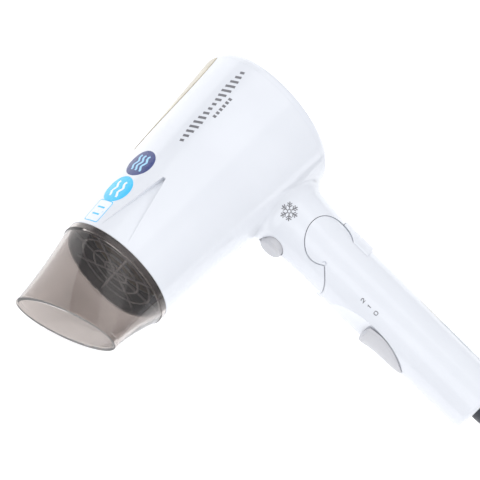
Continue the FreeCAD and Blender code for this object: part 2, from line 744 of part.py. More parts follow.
feature("button_spring", button_spring())
keep(block("cool_switch", "9", "12", "10", "-3.6", "@button_y - 6", "-5", True), "cool_switch")

# ---------------------------------------------------------------- hinge hardware

keep(cylinder("hinge_pin", "@pin_rad", "2 * @pin_half", "0", "@hinge_y", "-@pin_half", None, True), "hinge_pin")
washers = []
for side, low in (("left", "@knuckle_half - 1"), ("right", "-@knuckle_half - 0.1")):
    disc = cylinder("washer_disc_" + side, "8", "1.1", "0", "@hinge_y", low)
    hole = cylinder("washer_hole_" + side, "@pin_rad + 0.3", "3", "0", "@hinge_y", low + " - 1")
    washers.append(cut("washer_" + side, disc, hole))
keep(group("hinge_washers", washers), "hinge_washers")

# ---------------------------------------------------------------- switch in the handle


def switch_knob():
    """A thumb wedge: a step at its front, running down flush with the grip to a pointed tail."""
    middle, half, depth = size("switch_y"), size("switch_half"), size("switch_depth")
    travel = 2 * size("switch_step")
    front = size("grip_half") - 0.1
    floor = front - depth + 0.4
    step, tail = middle - 3.4, middle + half - 1.2
    heights = [
        (step - 1.4, 0.4 - depth), (step, 1.7), (step + 2.0, 1.9), (step + 7.0, 0.9),
        (step + 12.0, 0.35), (tail, 0.1),
    ]
    thick = size("grip_thick") - 0.1
    sections = [oval_wire(y, front + proud, thick + proud) for y, proud in heights]
    wedge = Part.makeLoft(sections, True, True).common(box_shape((floor, 0, -FAR), (FAR, 2 * FAR, FAR)))
    blunt, nose, belly = 0.9, 8.0, 8.9
    side = [
        Part.Arc(Vector(0, step - 2, nose), Vector(0, middle + 6, belly), Vector(0, tail, blunt)),
        Part.Arc(Vector(0, tail, -blunt), Vector(0, middle + 6, -belly), Vector(0, step - 2, -nose)),
    ]
    rim = Part.Wire([
        side[0].toShape(), Part.makeLine(Vector(0, tail, blunt), Vector(0, tail, -blunt)),
        side[1].toShape(), Part.makeLine(Vector(0, step - 2, -nose), Vector(0, step - 2, nose)),
    ])
    almond = Part.Face(rim).extrude(Vector(FAR, 0, 0))
    axis_x = front - depth + recess_radius()
    bed = Part.makeCylinder(recess_radius() - 0.35, 2 * FAR, Vector(axis_x, middle, -FAR))
    bed_at_far_setting = bed.translated(Vector(0, travel, 0))
    stem = box_shape((11.2, middle + 7.0, -2.8), (floor + 1.5, middle + 12.0, 2.8))
    paddle = wedge.common(almond).common(bed).common(bed_at_far_setting)
    return joined([paddle, stem])


def recess_radius():
    half, depth = size("switch_half"), size("switch_depth")
    return (half ** 2 + depth ** 2) / (2 * depth)


feature("switch_knob", switch_knob())
keep(block("slide_switch", "11.4", "26", "13", "-0.6", "@switch_y - 13", "-6.5", True), "slide_switch")
keep(block("handle_board", "1.6", "44", "20", "-2.4", "@switch_y - 24", "-10", True), "handle_board")

# ---------------------------------------------------------------- leads, cord clamp, screws, plate

leads = []
for number, z in enumerate((-3.2, 0.0, 3.2)):
    leads.append(cylinder("handle_lead_%d" % number, "1.3", "@grip_end_y - @switch_y - 29",
                          "0.6", "@switch_y + 14", str(z), ALONG_Y))
keep(group("handle_leads", leads), "handle_leads")
leads = []
for number, z in enumerate((-1.05, 1.05)):
    leads.append(cylinder("neck_lead_%d" % number, "0.9", "@hinge_y - 36", str(NECK_LEAD_X), "34", str(z),
                          ALONG_Y))
keep(group("neck_leads", leads), "neck_leads")

clamp_bar = block("clamp_bar", "20", "7", "4", "-10", "@grip_end_y - 12.5", "4.2")
clamp_holes = fuse("clamp_holes", [
    cylinder("clamp_hole_%d" % number, "1.5", "12", str(x), "@grip_end_y - 9", "-1")
    for number, x in enumerate((-7, 7))
])
keep(cut("cord_clamp", clamp_bar, clamp_holes, True), "cord_clamp")


def screws(name, places, head_z, head_depth, length):
    """Pan-head screws that point down Z with their heads at head_z, or up if the length is negative."""
    pieces = []
    for number, (x, y) in enumerate(places):
        tag = "%s_%d" % (name, number)
        low_head = head_z if length > 0 else head_z - head_depth
        low_shank = head_z - length if length > 0 else head_z
        head = cylinder(tag + "_head", str(SCREW_HEAD_RAD), str(head_depth), str(x), str(y), str(low_head))
        shank = cylinder(tag + "_shank", str(SCREW_RAD), str(abs(length)), str(x), str(y), str(low_shank))
        drive = block(tag + "_drive", "3.6", "0.8", "0.9", "%s - 1.8" % x, "%s - 0.4" % y,
                      str(head_z + head_depth - 0.9 if length > 0 else head_z - head_depth))
        cross_drive = block(tag + "_cross", "0.8", "3.6", "0.9", "%s - 0.4" % x, "%s - 1.8" % y,
                            str(head_z + head_depth - 0.9 if length > 0 else head_z - head_depth))
        blank = fuse(tag + "_blank", [head, shank])
        slots = fuse(tag + "_slots", [drive, cross_drive])
        pieces.append(cut(tag, blank, slots))
    return keep(group(name, pieces), name)


clamp_y = size("grip_end_y") - 9
screws("clamp_screws", [(-7, clamp_y), (7, clamp_y)], 8.2, 1.6, 9.0)
case_screw = (-SCREW_SEAT, SCREW_HEAD_DEPTH, -SCREW_SEAT - SCREW_REACH + 1.0)
screws("handle_screws", HANDLE_SCREWS, *case_screw)
screws("neck_screw", [NECK_SCREW], *case_screw)

# ---------------------------------------------------------------- strain relief, mains cord and plug

revolved("strain_relief", [
    ("0", "@grip_end_y - 14"), ("4.1", "@grip_end_y - 14"), ("4.1", "@grip_end_y - 4"),
    ("5.1", "@grip_end_y - 2.6"), ("5.1", "@grip_end_y + 0.05"), ("@relief_rad", "@grip_end_y + 0.05"),
    ("@relief_rad", "@grip_end_y + 4"), ("@relief_tip_rad", "@grip_end_y + @relief_length"),
    ("0", "@grip_end_y + @relief_length"),
], "XY_Plane", "V_Axis")

FLOOR = -size("barrel_rear_rad")
CORD_RAD = size("cord_rad")
ON_FLOOR = FLOOR + CORD_RAD
COIL_LIFT = 0.8
TURN_STEP = 2 * CORD_RAD
COIL_OUTER_TURN = size("coil_mean") + TURN_STEP
COIL_CENTRE = Vector(-70.0, 306.7 - COIL_OUTER_TURN, 0)
COIL_TOP = FLOOR + COIL_LIFT + size("coil_layers") * TURN_STEP

# the lead: out of the strain relief, down to the surface, round towards the coil
LEAD_ROUTE = [
    (0, 219, 0), (0, 238, -2), (-1.7, 256.5, -11), (-6.2, 271.3, -24),
    (-15, 285.3, -34.8), (-28.8, 296.9, -38.9), (-47.3, 304.4, -39.6), (-69.2, 306.7, -38.8),
]
# the tail: off the coil's top turn, down beside it and into the plug
TAIL_ROUTE = [
    (-119, 257, -31.8), (-119, 238, -33.4), (-117.5, 220, -37.4), (-114, 203, -37.9), (-110, 187, -35.1),
]
PLUG_ENTRY = Vector(*TAIL_ROUTE[-1])


def cord_tube(name, route):
    """A round tube along straight runs joined by the largest tangent arcs that the runs allow."""
    points = [Vector(*point) for point in route]
    edges, start, radii = [], points[0], []
    for before, corner, after in zip(points, points[1:], points[2:]):
        towards, away = (corner - before), (after - corner)
        half_turn = towards.getAngle(away) / 2
        reach = 0.45 * min(towards.Length, away.Length)
        radii.append(reach / math.tan(half_turn))
        towards.normalize()
        away.normalize()
        arc_start, arc_end = corner - towards * reach, corner + away * reach
        bisector = (away - towards).normalize()
        depth = radii[-1] / math.cos(half_turn) - radii[-1]
        edges.append(Part.LineSegment(start, arc_start).toShape())
        edges.append(Part.Arc(arc_start, corner + bisector * depth, arc_end).toShape())
        start = arc_end
    edges.append(Part.LineSegment(start, points[-1]).toShape())
    path = Part.Wire(edges)
    heading = (points[1] - points[0]).normalize()
    section = Part.Wire(Part.Circle(points[0], heading, CORD_RAD).toShape())
    tube = path.makePipeShell([section], True, True)
    expected = math.pi * CORD_RAD ** 2 * path.Length
    print("%s: radii %s, length %.0f, volume ratio %.4f" % (
        name, [round(radius) for radius in radii], path.Length, tube.Volume / expected))
    return tube


feature("cord_lead", cord_tube("cord_lead", LEAD_ROUTE))
feature("cord_tail", cord_tube("cord_tail", TAIL_ROUTE))


def coil_shape():
    """The closed outer form of the wound cord."""
    half_band = size("coil_rows") * CORD_RAD
    height = COIL_TOP - FLOOR - COIL_LIFT
    foot = COIL_CENTRE + Vector(0, 0, FLOOR + COIL_LIFT)
    disc = Part.makeCylinder(size("coil_mean") + half_band, height, foot)
    eye = Part.makeCylinder(size("coil_mean") - half_band, height, foot)
    band = disc.cut(eye)
    return band.makeFillet(2.5, [edge for edge in band.Edges if len(edge.Vertexes) == 1])


def tie_shape():
    """A strap closed round the coil's turns."""
    half_band = size("coil_rows") * CORD_RAD
    room, strap, half_width = 0.5, 0.6, 4.5
    low_y = COIL_CENTRE.y - size("coil_mean") - half_band - room
    high_y = COIL_CENTRE.y - size("coil_mean") + half_band + room
    low_z, high_z = FLOOR + strap + 0.1, COIL_TOP + 0.2
    west, east = COIL_CENTRE.x - half_width, COIL_CENTRE.x + half_width
    outside = box_shape((west, low_y - strap, low_z - strap), (east, high_y + strap, high_z + strap))
    return outside.cut(box_shape((west - 1, low_y, low_z), (east + 1, high_y, high_z)))


def plug_body_shape():
    """A flat two-pin plug lying on its side, with a tapered neck."""
    neck_end, nose = PLUG_ENTRY.y - 14, PLUG_ENTRY.y - 38
    neck = Part.makeCone(4.4, 6.0, 14.5, PLUG_ENTRY, Vector(0, -1, 0))
    body = box_shape((PLUG_ENTRY.x - 12, nose, PLUG_ENTRY.z - 8), (PLUG_ENTRY.x + 12, neck_end, PLUG_ENTRY.z + 8))
    body = body.makeFillet(3.2, [edge for edge in body.Edges if edge.BoundBox.YLength > 20])
    rear_rim = [edge for edge in body.Edges if edge.BoundBox.YMin > neck_end - 0.1]
    return joined([body.makeFillet(2.2, rear_rim), neck])


feature("cord_coil", coil_shape())
feature("cord_tie", tie_shape())
feature("plug_body", plug_body_shape())

blades = []
for number, offset in enumerate((-6.35, 6.35)):
    blade_x = str(PLUG_ENTRY.x + offset - 0.75)
    blank = block("blade_blank_%d" % number, "1.5", "17", "6.3", blade_x, str(PLUG_ENTRY.y - 55),
                  str(PLUG_ENTRY.z - 3.15))
    eyelet = cylinder("blade_eyelet_%d" % number, "1.5", "6", str(PLUG_ENTRY.x + offset - 3),
                      str(PLUG_ENTRY.y - 51), str(PLUG_ENTRY.z), ALONG_X)
    blades.append(cut("blade_%d" % number, blank, eyelet))
keep(group("plug_blades", blades), "plug_blades")

# ---------------------------------------------------------------- checks and export

doc.recompute()
for item in doc.Objects:
    if {"Invalid", "Error"} & set(item.State):
        raise RuntimeError("%s did not recompute: %s" % (item.Label, item.State))
names = [piece.Label for piece in SUBPARTS]
if len(set(names)) != len(names):
    raise RuntimeError("two sub-parts share a name")
for piece in SUBPARTS:
    if piece.Shape.isNull() or not piece.Shape.isValid() or not piece.Shape.Solids:
        raise RuntimeError("%s has no valid solid" % piece.Label)

os.makedirs("parts", exist_ok=True)
for piece in SUBPARTS:
    piece.Shape.exportStep(os.path.join("parts", piece.Label + ".step"))
print("%d sub-parts written" % len(SUBPARTS))
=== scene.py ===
"""Looks of a folding hair dryer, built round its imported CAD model."""
import json
import math

import bmesh
import bpy
from mathutils import Matrix, Vector
from mathutils.bvhtree import BVHTree


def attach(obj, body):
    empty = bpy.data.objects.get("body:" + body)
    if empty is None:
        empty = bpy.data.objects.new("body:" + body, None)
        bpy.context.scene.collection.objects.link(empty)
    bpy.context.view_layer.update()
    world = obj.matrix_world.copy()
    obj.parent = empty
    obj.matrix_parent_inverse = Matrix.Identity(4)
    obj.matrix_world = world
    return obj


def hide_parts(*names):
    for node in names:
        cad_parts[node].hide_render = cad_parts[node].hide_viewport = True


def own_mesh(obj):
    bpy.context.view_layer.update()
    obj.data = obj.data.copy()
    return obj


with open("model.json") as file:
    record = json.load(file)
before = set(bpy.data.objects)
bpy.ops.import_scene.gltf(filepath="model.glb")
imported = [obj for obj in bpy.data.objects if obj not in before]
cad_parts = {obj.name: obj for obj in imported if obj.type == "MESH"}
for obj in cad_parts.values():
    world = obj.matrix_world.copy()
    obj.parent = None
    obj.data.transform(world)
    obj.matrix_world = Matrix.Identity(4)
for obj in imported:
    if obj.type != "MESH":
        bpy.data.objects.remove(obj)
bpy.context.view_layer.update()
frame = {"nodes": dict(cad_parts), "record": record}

NODES = frame["nodes"]
ORIGIN = Vector((-0.04688, -0.08795, 0.0431))   # where the barrel's and the handle's axes cross
MM = 0.001

# ------------------------------------------------------------------ small helpers


def at(x, y, z):
    """A point given in millimetres from where the two axes cross, in the row frame."""
    return ORIGIN + Vector((x, y, z)) * MM


def link(obj):
    bpy.context.scene.collection.objects.link(obj)
    return obj


def mesh_object(name, verts, faces):
    mesh = bpy.data.meshes.new(name)
    mesh.from_pydata([tuple(v) for v in verts], [], faces)
    mesh.validate()
    for polygon in mesh.polygons:
        polygon.use_smooth = False
    return link(bpy.data.objects.new(name, mesh))


def paint(obj, material):
    obj.data.materials.clear()
    obj.data.materials.append(material)


# ------------------------------------------------------------------ camera

VIEW_YAW = math.radians(23.0)       # the camera stands towards the outlet by this much
VIEW_PITCH = math.radians(-0.6)     # and towards the handle's end; below zero it is towards the crown
VIEW_DISTANCE = 1.60
AIM = at(28.7, 34.2, 0.0)
ROLL_ALONG, ROLL_ACROSS = 0.714, 0.70   # the picture's right is down the handle and back along the barrel
LENS_LENGTH, SENSOR_WIDTH = 230.0, 36.0


def add_camera():
    flat = Vector((math.sin(VIEW_YAW), 0.0, math.cos(VIEW_YAW)))
    towards = flat * math.cos(VIEW_PITCH) + Vector((0, 1, 0)) * math.sin(VIEW_PITCH)
    forward = Vector((math.cos(VIEW_YAW), 0.0, -math.sin(VIEW_YAW)))
    down_handle = towards.cross(forward)
    right = (down_handle * ROLL_ALONG - forward * ROLL_ACROSS).normalized()
    up = towards.cross(right)
    camera = link(bpy.data.objects.new("camera", bpy.data.cameras.new("camera")))
    camera.data.lens = LENS_LENGTH
    camera.data.sensor_width = SENSOR_WIDTH
    camera.data.clip_start, camera.data.clip_end = 0.05, 20.0
    turn = Matrix((right, up, towards)).transposed().to_4x4()
    camera.matrix_world = Matrix.Translation(AIM + towards * VIEW_DISTANCE) @ turn
    bpy.context.scene.camera = camera


add_camera()

# ------------------------------------------------------------------ materials

NOISE_LOW, NOISE_HIGH = 0.35, 0.65      # most of a noise texture's values lie between these
ROUGH_LEAST, ROUGH_MOST = 0.85, 1.2     # the shares of its roughness that a plastic varies between


class Shader:
    """A material's node tree with short calls for the nodes used here."""

    def __init__(self, name):
        self.material = bpy.data.materials.new(name)
        self.material.use_nodes = True
        self.tree = self.material.node_tree
        self.base = self.tree.nodes["Principled BSDF"]
        self.place = self.node("ShaderNodeTexCoord").outputs["Object"]

    def node(self, kind, **settings):
        made = self.tree.nodes.new(kind)
        for key, value in settings.items():
            setattr(made, key, value)
        return made

    def wire(self, source, target):
        self.tree.links.new(source, target)

    def noise(self, scale, detail):
        made = self.node("ShaderNodeTexNoise")
        made.inputs["Scale"].default_value = scale
        made.inputs["Detail"].default_value = detail
        self.wire(self.place, made.inputs["Vector"])
        return made.outputs["Fac"]

    def drift(self, source, dark, light):
        """Colours the surface from dark to light with a noise."""
        made = self.node("ShaderNodeValToRGB")
        made.color_ramp.elements[0].position = NOISE_LOW
        made.color_ramp.elements[1].position = NOISE_HIGH
        for element, colour in zip(made.color_ramp.elements, (dark, light)):
            element.color = (*colour, 1.0)
        self.wire(source, made.inputs["Fac"])
        self.wire(made.outputs["Color"], self.base.inputs["Base Color"])

    def gloss(self, source, low, high):
        """Lets the roughness run from low to high with a noise."""
        made = self.node("ShaderNodeMapRange")
        made.inputs["From Min"].default_value = NOISE_LOW
        made.inputs["From Max"].default_value = NOISE_HIGH
        made.inputs["To Min"].default_value = low
        made.inputs["To Max"].default_value = high
        self.wire(source, made.inputs["Value"])
        self.wire(made.outputs["Result"], self.base.inputs["Roughness"])

    def bump(self, source, distance, strength=1.0, edge=0.0):
        """Raises the surface with a noise; edge is the radius that sharp edges seem to have."""
        made = self.node("ShaderNodeBump")
        made.inputs["Strength"].default_value = strength
        made.inputs["Distance"].default_value = distance
        self.wire(source, made.inputs["Height"])
        if edge:
            rounded = self.node("ShaderNodeBevel", samples=4)
            rounded.inputs["Radius"].default_value = edge
            self.wire(rounded.outputs["Normal"], made.inputs["Normal"])
        self.wire(made.outputs["Normal"], self.base.inputs["Normal"])

    def set(self, **values):
        for key, value in values.items():
            self.base.inputs[key.replace("_", " ")].default_value = value


def plastic(name, dark, light, rough, grain, depth, coat=0.0, edge=0.0, cloud=28.0, metallic=0.0):
    """Moulded plastic: slow drift in colour, fine surface texture, gloss that varies a little."""
    shader = Shader(name)
    shader.drift(shader.noise(cloud, 3.0), dark, light)
    shader.gloss(shader.noise(cloud * 5, 4.0), rough * ROUGH_LEAST, rough * ROUGH_MOST)
    shader.set(Coat_Weight=coat, Coat_Roughness=0.04, Metallic=metallic)
    shader.bump(shader.noise(grain, 3.0), depth, edge=edge)
    return shader.material


def smoke(name):
    """Smoky transparent plastic: the tint drifts a little and the surface ripples faintly."""
    shader = Shader(name)
    shader.drift(shader.noise(25.0, 2.0), (0.52, 0.475, 0.45), (0.57, 0.52, 0.495))
    shader.gloss(shader.noise(150.0, 3.0), 0.02, 0.05)
    shader.set(Transmission_Weight=1.0, IOR=1.45)
    shader.bump(shader.noise(120.0, 1.0), 0.00003, strength=0.6)
    return shader.material


EDGE_RAD = 0.0003       # how round the outer mouldings' edges look

MATERIALS = {
    "shell_white": plastic("shell_white", (0.765, 0.785, 0.83), (0.79, 0.81, 0.855), rough=0.16,
                           grain=420.0, depth=0.000004, coat=0.5, edge=EDGE_RAD),
    "boot_white": plastic("boot_white", (0.76, 0.78, 0.825), (0.78, 0.80, 0.845), rough=0.30,
                          grain=700.0, depth=0.000012, edge=EDGE_RAD),
    "cover_white": plastic("cover_white", (0.76, 0.78, 0.83), (0.79, 0.81, 0.85), rough=0.22,
                           grain=600.0, depth=0.000006, coat=0.3, edge=EDGE_RAD),
    "duct_dark": plastic("duct_dark", (0.13, 0.125, 0.135), (0.18, 0.173, 0.183), rough=0.3,
                         grain=900.0, depth=0.00001),
    "fan_plastic": plastic("fan_plastic", (0.02, 0.022, 0.027), (0.035, 0.037, 0.042), rough=0.4,
                           grain=1500.0, depth=0.00003),
    "button_grey": plastic("button_grey", (0.56, 0.56, 0.585), (0.60, 0.60, 0.625), rough=0.42,
                           grain=1700.0, depth=0.00002, edge=EDGE_RAD),
    "switch_black": plastic("switch_black", (0.012, 0.012, 0.014), (0.02, 0.02, 0.022), rough=0.45,
                            grain=1500.0, depth=0.00003),
    "washer_white": plastic("washer_white", (0.66, 0.66, 0.62), (0.72, 0.72, 0.68), rough=0.4,
                            grain=1200.0, depth=0.00001),
    "mica": plastic("mica", (0.28, 0.22, 0.15), (0.42, 0.34, 0.24), rough=0.5,
                    grain=900.0, depth=0.00005, cloud=160.0),
    "board_green": plastic("board_green", (0.01, 0.06, 0.03), (0.02, 0.09, 0.045), rough=0.35,
                           grain=900.0, depth=0.00002, coat=0.2),
    "lead_black": plastic("lead_black", (0.008, 0.008, 0.01), (0.016, 0.016, 0.018), rough=0.38,
                          grain=1200.0, depth=0.00001),
    "cord_charcoal": plastic("cord_charcoal", (0.035, 0.038, 0.05), (0.05, 0.054, 0.068), rough=0.42,
                             grain=2200.0, depth=0.00003, cloud=90.0),
    "steel": plastic("steel", (0.36, 0.36, 0.37), (0.46, 0.46, 0.47), rough=0.3,
                     grain=1500.0, depth=0.00001, cloud=200.0, metallic=1.0),
    "screen_grey": plastic("screen_grey", (0.12, 0.12, 0.125), (0.2, 0.2, 0.205), rough=0.4,
                           grain=2600.0, depth=0.00012, cloud=400.0, metallic=0.8),
    "heater_wire": plastic("heater_wire", (0.24, 0.21, 0.18), (0.42, 0.38, 0.33), rough=0.3,
                           grain=1800.0, depth=0.00002, cloud=500.0, metallic=1.0),
    "brass": plastic("brass", (0.5, 0.36, 0.14), (0.62, 0.46, 0.2), rough=0.25,
                     grain=900.0, depth=0.00001, cloud=150.0, metallic=1.0),
    "crown_gold": plastic("crown_gold", (0.42, 0.38, 0.29), (0.52, 0.475, 0.37), rough=0.32,
                          grain=2500.0, depth=0.00001, coat=0.4, cloud=60.0, metallic=0.7),
    "smoke_clear": smoke("smoke_clear")}

for entry in frame["record"]["subparts"]:
    paint(NODES[entry["node"]], MATERIALS[entry["material_slot"]])

# ------------------------------------------------------------------ the cord

CORD_RAD = 0.0035
LEAD = [(0, .219, 0), (0, .238, -.002), (-.0017, .2565, -.011), (-.0062, .2713, -.024),
        (-.015, .2853, -.0348), (-.0288, .2969, -.0389), (-.0473, .3044, -.0396),
        (-.0692, .3067, -.0388)]
TAIL = [(-.119, .257, -.0318), (-.119, .238, -.0334), (-.1175, .22, -.0374),
        (-.114, .203, -.0379), (-.11, .187, -.0351)]
COIL_X, COIL_Y = -0.070, 0.2577
COIL_LOW, COIL_HIGH = -0.0388, -0.0318
TURN_RADII = (0.049, 0.042, 0.035)
COIL_FIRST, COIL_LAST = 90, 180 + 5 * 360       # degrees round the coil, where the cord joins and leaves it
STEP_OUT, RISE, STEP_IN = 270, 320, 370         # where it starts to change from turn to turn
STEP_ARC = 50                                   # and how far round it has changed
PER_TURN = 24


def eased(angle, start):
    share = min(1.0, max(0.0, (angle - start) / STEP_ARC))
    return share * share * (3 - 2 * share)


def coil_points():
    """Three turns inwards on the floor, a step up, and three turns outwards on top of them."""
    outer, middle, inner = TURN_RADII
    points = []
    count = round((COIL_LAST - COIL_FIRST) * PER_TURN / 360)
    for number in range(1, count):
        angle = COIL_FIRST + (COIL_LAST - COIL_FIRST) * number / count
        radius = outer
        radius += (middle - outer) * eased(angle, STEP_IN)
        radius += (inner - middle) * eased(angle, STEP_IN + 360)
        radius += (middle - inner) * eased(angle, STEP_OUT + 3 * 360)
        radius += (outer - middle) * eased(angle, STEP_OUT + 4 * 360)
        height = COIL_LOW + (COIL_HIGH - COIL_LOW) * eased(angle, RISE + 2 * 360)
        turn = math.radians(angle)
        points.append((COIL_X + radius * math.cos(turn), COIL_Y + radius * math.sin(turn), height))
    return points


def add_cord():
    curve = bpy.data.curves.new("mains_cord", "CURVE")
    curve.dimensions = "3D"
    spline = curve.splines.new("NURBS")
    points = LEAD + coil_points() + TAIL
    spline.points.add(len(points) - 1)
    for point, place in zip(spline.points, points):
        point.co = (*(ORIGIN + Vector(place)), 1.0)
    spline.order_u = 3
    spline.use_endpoint_u = True
    spline.resolution_u = 8
    curve.bevel_depth = CORD_RAD
    curve.bevel_resolution = 6
    curve.use_fill_caps = True
    cord = link(bpy.data.objects.new("mains_cord", curve))
    curve.materials.append(MATERIALS["cord_charcoal"])
    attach(cord, "handle")
    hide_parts("cord_lead", "cord_coil", "cord_tail")


add_cord()

# ------------------------------------------------------------------ the hinge boot and the button spring, copied unchanged


def add_yielding(name, node, body, slot):
    """A copy of a CAD node with its own mesh and material, attached to a body in place of the hidden node.
    """
    piece = link(bpy.data.objects.new(name, NODES[node].data.copy()))
    paint(piece, MATERIALS[slot])
    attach(piece, body)
    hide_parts(node)
    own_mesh(piece)


add_yielding("fold_boot", "hinge_boot", "handle", "boot_white")
add_yielding("press_spring", "button_spring", "barrel", "steel")

# ------------------------------------------------------------------ laying prints on a surface


def tree_of(*names):
    """A search tree over the surfaces of several nodes."""
    verts, faces = [], []
    for name in names:
        start = len(verts)
        mesh = NODES[name].data
        verts += [v.co.copy() for v in mesh.vertices]
        faces += [[start + i for i in polygon.vertices] for polygon in mesh.polygons]
    return BVHTree.FromPolygons(verts, faces)


BARREL = tree_of("barrel_shell_left", "barrel_shell_right")
GRIP = tree_of("handle_shell_left", "handle_shell_right")
REACH = 0.12            # how far outside the surface a ray starts
UNROLL_RAD = 38.0       # mm, turns a distance round the barrel into an angle
PRINT_SINK = 0.05       # mm, how deep a print's underside lies below the surface


def round_barrel(x, angle):
    """Maps (u along the barrel, v round it), in mm about (x, angle), to a ray from outside."""
    def ray(u, v):
        turn = math.radians(angle) + v / UNROLL_RAD
        out = Vector((0.0, -math.sin(turn), math.cos(turn)))
        return at(x + u, 0, 0) + out * REACH, -out
    return ray


def from_above(x, y):
    """Maps (u, v) in mm about (x, y) to a ray straight down on the left face."""
    def ray(u, v):
        return at(x + u, y + v, 0) + Vector((0, 0, REACH)), Vector((0, 0, -1))
    return ray


def cut_to_cells(work, step):
    """Cuts a flat mesh along a square grid, so that it can follow a curved surface."""
    bmesh.ops.triangulate(work, faces=work.faces[:])
    for axis in (0, 1):
        values = [v.co[axis] for v in work.verts]
        low, high = min(values), max(values)
        for number in range(1, int((high - low) / step) + 1):
            plane, normal = [0, 0, 0], [0, 0, 0]
            plane[axis], normal[axis] = low + number * step, 1
            bmesh.ops.bisect_plane(work, geom=work.verts[:] + work.edges[:] + work.faces[:],
                                   plane_co=plane, plane_no=normal, dist=1e-5)
    work.verts.ensure_lookup_table()
    work.verts.index_update()


def slab_faces(work):
    """The faces of a closed slab whose top is the flat mesh and whose underside mirrors it."""
    count = len(work.verts)
    faces = [[v.index for v in face.verts] for face in work.faces]
    faces += [[i + count for i in reversed(face)] for face in faces]
    for edge in work.edges:
        if not edge.is_boundary:
            continue
        first, second = edge.verts[0].index, edge.verts[1].index
        order = [v.index for v in edge.link_faces[0].verts]
        if order[(order.index(first) + 1) % len(order)] != second:
            first, second = second, first
        faces.append([second, first, first + count, second + count])
    return faces


def lay(name, loops, tree, ray, material, body, proud=0.03, step=1.0):
    """Cuts flat outlines into small cells and lays them on a surface as a thin closed slab."""
    work = bmesh.new()
    for loop in loops:
        work.faces.new([work.verts.new((u, v, 0)) for u, v in loop])
    cut_to_cells(work, step)
    tops, lows = [], []
    for vert in work.verts:
        start, down = ray(vert.co.x, vert.co.y)
        place, normal, _, _ = tree.ray_cast(start, down)
        if place is None:
            raise RuntimeError(name + " misses the surface")
        tops.append(place + normal * proud * MM)
        lows.append(place - normal * PRINT_SINK * MM)
    piece = mesh_object(name, tops + lows, slab_faces(work))
    work.free()
    repair = bmesh.new()
    repair.from_mesh(piece.data)
    bmesh.ops.recalc_face_normals(repair, faces=repair.faces[:])
    repair.to_mesh(piece.data)
    repair.free()
    paint(piece, material)
    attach(piece, body)


# ------------------------------------------------------------------ flat outlines, in mm


MITRE_LEAST = 0.4       # keeps a sharp corner's mitre from running out to a spike


def stroke(points, width, closed=False):
    """Quads along a line, with mitred corners, as loops."""
    count = len(points)
    line = [Vector(p) for p in points]
    sides = []
    for i in range(count):
        before = line[i] - line[i - 1] if (i or closed) else line[1] - line[0]
        after = line[(i + 1) % count] - line[i] if (i < count - 1 or closed) else before
        before, after = before.normalized(), after.normalized()
        along = (before + after).normalized()
        across = Vector((-along.y, along.x))
        reach = width / 2 / max(MITRE_LEAST, across.dot(Vector((-before.y, before.x))))
        sides.append((line[i] + across * reach, line[i] - across * reach))
    spans = count if closed else count - 1
    return [[tuple(sides[i][0]), tuple(sides[i][1]), tuple(sides[(i + 1) % count][1]),
             tuple(sides[(i + 1) % count][0])] for i in range(spans)]


def oval(half_u, half_v, count=40):
    return [(half_u * math.cos(2 * math.pi * i / count), half_v * math.sin(2 * math.pi * i / count))
            for i in range(count)]


def rounded(half_u, half_v, corner, count=5):
    """A rectangle whose corners are arcs of count short sides."""
    points = []
    for sign_u, sign_v, start in ((1, 1, 0), (-1, 1, 90), (-1, -1, 180), (1, -1, 270)):
        for i in range(count + 1):
            turn = math.radians(start + 90 * i / count)
            points.append((sign_u * (half_u - corner) + corner * math.cos(turn),
                           sign_v * (half_v - corner) + corner * math.sin(turn)))
    return points


def turned(loops, degrees):
    cos, sin = math.cos(math.radians(degrees)), math.sin(math.radians(degrees))
    return [[(u * cos - v * sin, u * sin + v * cos) for u, v in loop] for loop in loops]


def bar_row(lengths, pitch, slant, width):
    """Leaning bars of different lengths in a row: a plain ornament."""
    loops = []
    start = -pitch * (len(lengths) - 1) / 2
    for number, length in enumerate(lengths):
        u = start + pitch * number
        loops += stroke([(u - slant * length / 2, -length / 2), (u + slant * length / 2, length / 2)],
                        width)
    return loops


WAVE_STEP, WAVE_STEPS = 0.92, 10
WAVE_SWING, WAVE_TURN = 0.7, 1.15       # its height, and the angle that a step adds to its sine
WAVE = [(-WAVE_STEP * WAVE_STEPS / 2 + WAVE_STEP * i, WAVE_SWING * math.sin(WAVE_TURN * i))
        for i in range(WAVE_STEPS + 1)]


def waves(offsets, scale, width):
    return [loop for offset in offsets
            for loop in stroke([(u * scale, v * scale + offset) for u, v in WAVE], width)]


ARM_WIDTH, BARB_WIDTH, RING_WIDTH = 0.6, 0.5, 0.45
ARM_START, ARM_END, RING_RAD = 1.35, 4.9, 1.05
BARBS = ((2.4, 1.25), (3.5, 1.15))      # where on the arm each pair of barbs starts, and its length
BARB_ALONG, BARB_ACROSS = 0.62, 0.9     # how far a barb runs along the arm and away from it
SNOWFLAKE_TURN = 42


def snowflake():
    """Six arms with two pairs of barbs each, round a small hexagon."""
    ring = [(RING_RAD * math.cos(math.radians(60 * i)), RING_RAD * math.sin(math.radians(60 * i)))
            for i in range(6)]
    loops = stroke(ring, RING_WIDTH, True)
    for arm in range(6):
        parts = stroke([(ARM_START, 0), (ARM_END, 0)], ARM_WIDTH)
        for root, reach in BARBS:
            for side in (1, -1):
                tip = (root + reach * BARB_ALONG, side * (ARM_WIDTH / 2 + reach * BARB_ACROSS))
                parts += stroke([(root, side * ARM_WIDTH / 2), tip], BARB_WIDTH)
        loops += turned(parts, 60 * arm + SNOWFLAKE_TURN)
    return loops


# ------------------------------------------------------------------ prints and labels

